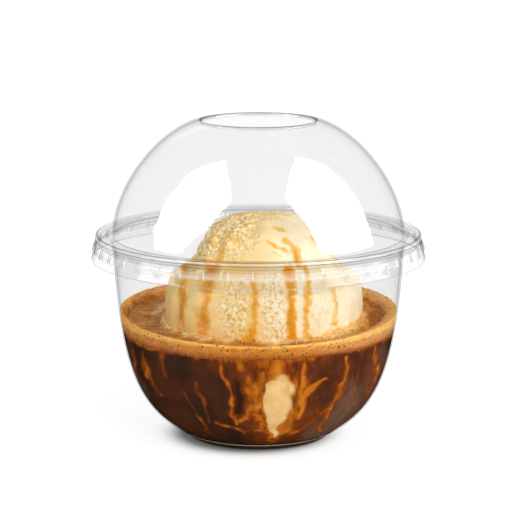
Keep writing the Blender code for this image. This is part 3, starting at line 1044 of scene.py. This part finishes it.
CRUMB_STROKES = (
    (1.00, ((202, 252, 12), (212, 238, 17), (226, 228, 17), (246, 219, 12))),
    (0.55, ((250, 234, 12), (236, 252, 10))),
    (0.50, ((262, 216, 8), (282, 218, 7))),
    (0.55, ((194, 266, 9), (206, 274, 9))),
)
PITTED_STROKES = (
    (1.00, ((236, 288, 13), (235, 310, 14), (236, 332, 12))),
    (1.00, ((272, 284, 12), (274, 308, 15), (274, 332, 13))),
    (0.40, ((318, 300, 8), (320, 330, 8))),
)


def scoop_mesh():
    """A rounded cube pushed out to the scoop's form, and the way that each of its points faces."""
    bm = bmesh.new()
    bmesh.ops.create_cube(bm, size=2)
    bmesh.ops.subdivide_edges(bm, edges=bm.edges, cuts=SCOOP_CUTS, use_grid_fill=True)
    rays = []
    for vert in bm.verts:
        ray = Vector(math.tan(c * math.pi / 4) for c in vert.co).normalized()
        spread = sum(abs(c) ** SCOOP_SQUARENESS for c in ray)
        place = ray * spread ** (-1 / SCOOP_SQUARENESS)
        place = Vector(c * r for c, r in zip(place, SCOOP_RADII))
        place.xy *= np.interp(SCOOP_MIDDLE.z + place.z, SHOULDER_HEIGHTS, SHOULDER_WIDTHS)
        place.x += CROWN_SHIFT * smoothstep(0.011, 0.019, place.z)
        relief = sum(height * noise.noise(place * waves) for height, waves in LUMPS)
        groove = math.sin(CROWN_GROOVES * math.atan2(ray.y, ray.x))
        relief += max(0.0, ray.z) * ray.xy.length * GROOVE_DEPTH * groove
        vert.co = SCOOP_MIDDLE + place + ray * relief
        rays.append(ray)
    return bm, np.array(rays)


def skin_relief(places, golden, pitted):
    """How far the scoop's skin stands out at each point, and how deep it lies in a pit, from 0 to 1."""
    lift = np.zeros(len(places))
    pit = np.zeros(len(places))
    for i, place in enumerate(places):
        point = Vector(place)
        icy = noise.noise(point * 420)
        lift[i] = ICE_RELIEF * icy + FINE_RELIEF * noise.noise(point * 1300)
        if golden[i] > 0.01:
            crumb = noise.noise(point * 640 + Vector((5, 1, 2)))
            lift[i] += golden[i] * (CRUMB_RELIEF * crumb + CRUMB_EDGES * abs(icy))
        if pitted[i] > 0.01:
            across = point.x * 700 + point.z * 700
            slanted = Vector((across, point.y * 620, point.z * 1350 - point.x * 1350))
            pit[i] = pitted[i] * smoothstep(0.05, 0.40, noise.noise(slanted))
            lift[i] -= PIT_DEPTH * pit[i]
    return lift, pit


def scoop():
    bm, rays = scoop_mesh()
    made = piece("vanilla_scoop", bm, ice_cream_finish(), "ice_cream")
    places = places_of(made)
    wander = wavering(places, 160.0, 4.0) + wavering(places, 600.0, 2.0)
    amber = both_sides(places, DRIP_STROKES, wander, 1.0)
    golden = both_sides(places, CRUMB_STROKES, wander)
    pitted = both_sides(places, PITTED_STROKES, wander)
    lift, pit = skin_relief(places, golden, pitted)
    lift += DRIP_HEIGHT * amber
    places += rays * lift[:, None]
    move_to(made, places)
    paint_on(made, "stains_and_pit_shade", amber, golden, pit)
    # Painted shade on the scoop's left side, fading out towards the right
    left_warm_shade = 0.9 * smoothstep(0.014, -0.007, places[:, 0])
    paint_on(made, "skin", left_warm_shade, pitted)


# The studio


def add_object(name, data):
    made = bpy.data.objects.new(name, data)
    bpy.context.scene.collection.objects.link(made)
    return made


def plain_mesh(name, corners, material):
    """A flat sheet through its corners."""
    bm = bmesh.new()
    bm.faces.new([bm.verts.new(c) for c in corners])
    mesh = bpy.data.meshes.new(name)
    bm.to_mesh(mesh)
    bm.free()
    mesh.materials.append(material)
    return add_object(name, mesh)


# The painted shadow round the foot lies a little to the left, and fades out this far from the foot's edge
SHADOW_MIDDLE = (-0.0022, 0.0, 0.0)
SHADOW_REACH = 0.014
FLOOR_REACH = 8.0


def floor():
    """A pale floor that glows softly, with a painted shadow: its glow is dimmed close round the foot, a
    little more on the left.
    """
    paint = Paint("pale floor")
    cloud = paint.grain(3.0, 2.0)
    colour = paint.blend(cloud, (0.25, 0.25, 0.25, 1), (0.255, 0.255, 0.255, 1))
    shifted = paint.node("VectorMath", {"operation": "SUBTRACT"}, {0: paint.place, 1: SHADOW_MIDDLE})
    away = paint.node("VectorMath", {"operation": "LENGTH"}, {0: shifted.outputs[0]})
    away = Level(paint, away.outputs["Value"])
    # Painted shadow: the floor's glow is dimmed close round the foot
    near = away.fall(FOOT_RADIUS - 0.001, FOOT_RADIUS + SHADOW_REACH) ** 3.5
    glow = paint.blend(near * 0.9, (1, 1, 1, 1), (0, 0, 0, 1))
    finish = paint.coated(
        colour,
        Roughness=0.9,
        Specular_IOR_Level=0.0,
        Emission_Color=glow,
        Emission_Strength=0.83,
    )
    corners = [Vector((x, y, 0)) * FLOOR_REACH for x, y in ((-1, -1), (1, -1), (1, 1), (-1, 1))]
    made = plain_mesh("floor", corners, finish)
    made.visible_glossy = False


# Bright cards that only the gloss reflects. The two at the sides are seen in the dome, and the dim one at
# the back in the wet crema. Corners are (y, z) at the sides and (x, z) at the back
CARD_AWAY = 0.9
SIDE_STRENGTH = 16.0
BACK_STRENGTH = 1.5
LEFT_CARD = (
    (-0.07, 0.004), (-0.50, 0.004), (-1.04, 0.76), (-1.62, 2.21),
    (-0.08, 2.61), (0.085, 1.09), (0.04, 0.725), (-0.01, 0.34),
)
RIGHT_CARD = (
    (0.14, 0.004), (-0.80, 0.004), (-0.83, 0.12), (-1.24, 1.34), (-1.65, 2.37),
    (0.14, 2.36), (0.205, 1.21), (0.18, 0.80), (0.12, 0.29),
)
BACK_CARD = ((-0.50, 0.46), (0.10, 0.46), (0.10, 0.70), (-0.50, 0.70))


def card(name, places, strength):
    paint = Paint(name)
    glow = paint.node("Emission", {}, {"Color": (1, 1, 1, 1), "Strength": strength})
    finish = paint.finish(glow.outputs[0])
    made = plain_mesh(name, places, finish)
    made.visible_camera = False
    made.visible_diffuse = False
    made.visible_shadow = False
    made.visible_transmission = False


def lights():
    world = bpy.data.worlds.new("soft studio")
    world.use_nodes = True
    sky = world.node_tree.nodes["Background"]
    sky.inputs["Color"].default_value = (1, 1, 1, 1)
    sky.inputs["Strength"].default_value = 0.75
    world.cycles_visibility.glossy = False
    bpy.context.scene.world = world
    key = bpy.data.lights.new("key", "SUN")
    key.energy = 1.8
    key.angle = math.radians(40)
    key.color = (1.0, 0.985, 0.96)
    lamp = add_object("key", key)
    lamp.rotation_euler = Vector((0.55, -0.90, 0.50)).to_track_quat("Z", "Y").to_euler()
    lamp.visible_glossy = False
    card("left_card", [(-CARD_AWAY, y, z) for y, z in LEFT_CARD], SIDE_STRENGTH)
    card("right_card", [(CARD_AWAY, y, z) for y, z in RIGHT_CARD], SIDE_STRENGTH)
    card("back_card", [(x, CARD_AWAY, z) for x, z in BACK_CARD], BACK_STRENGTH)


def camera():
    data = bpy.data.cameras.new("camera")
    data.sensor_width = SENSOR
    data.lens = FOCAL_PIXELS / PHOTO_SIZE * SENSOR
    data.shift_x = (PHOTO_SIZE / 2 - AXIS_PIXEL) / PHOTO_SIZE
    data.clip_start = 0.01
    data.clip_end = 50
    made = add_object("camera", data)
    made.location = EYE
    made.rotation_euler = (math.pi / 2 - PITCH, 0, 0)
    bpy.context.scene.camera = made


camera()
floor()
lights()
cup()
lid()
coffee()
crema()
bubbles()
scoop()

scene = bpy.context.scene
scene.view_settings.view_transform = "Standard"
scene.cycles.transparent_max_bounces = 40
